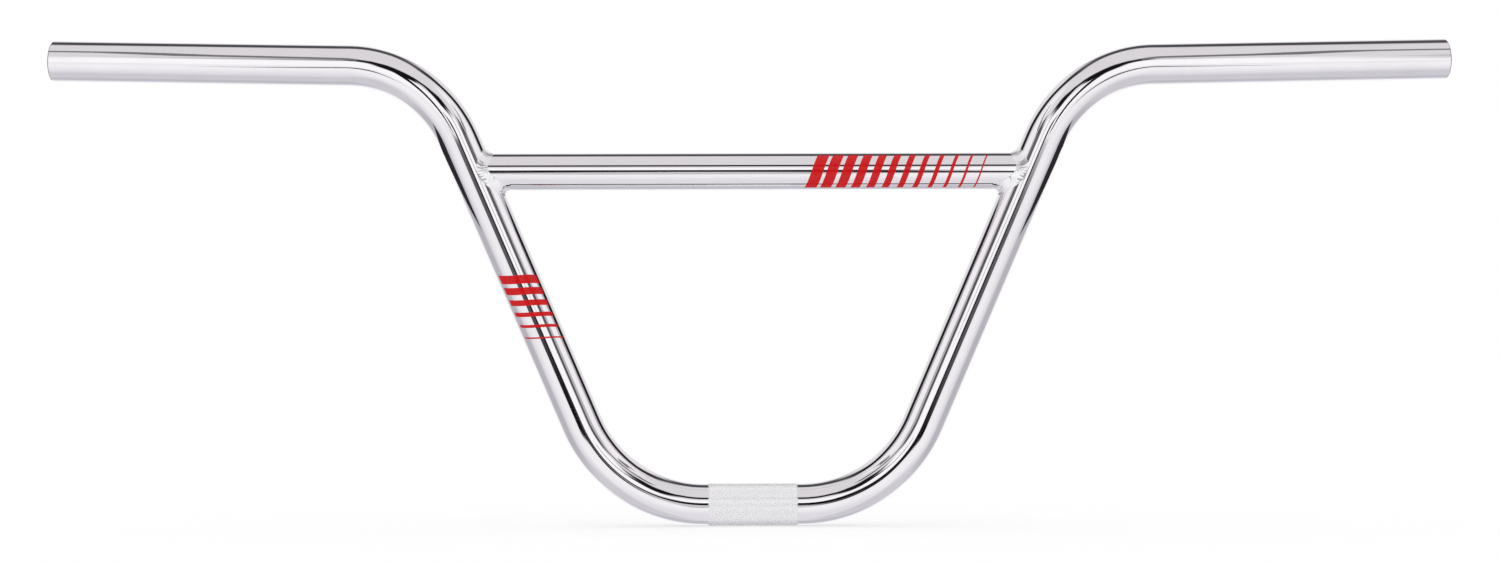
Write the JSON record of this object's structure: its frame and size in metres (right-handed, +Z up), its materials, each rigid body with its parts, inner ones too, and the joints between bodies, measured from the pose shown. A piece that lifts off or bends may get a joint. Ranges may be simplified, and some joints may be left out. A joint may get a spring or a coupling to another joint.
{
  "type": "bmx handlebar",
  "caption": "High-rise tubular steel bmx handlebar: a bent main tube with a knurled stem clamp, swept-back grips and a welded crossbar, chrome plated.",
  "frame": {"origin": "centre of the stem clamp, on the main tube's axis", "axes": "+X along the clamp, to the right as seen from the front; +Y back towards the rider; +Z up"},
  "size_m": [0.766, 0.0623, 0.2638],
  "materials": {
    "chrome": "bright chrome plate over polished steel tube",
    "weld_chrome": "bright chrome plate over a rippled weld bead"
  },
  "bodies": {
    "root": {"main_bar": "chrome", "crossbar": "chrome", "weld_beads": "weld_chrome"}
  },
  "joints": []
}
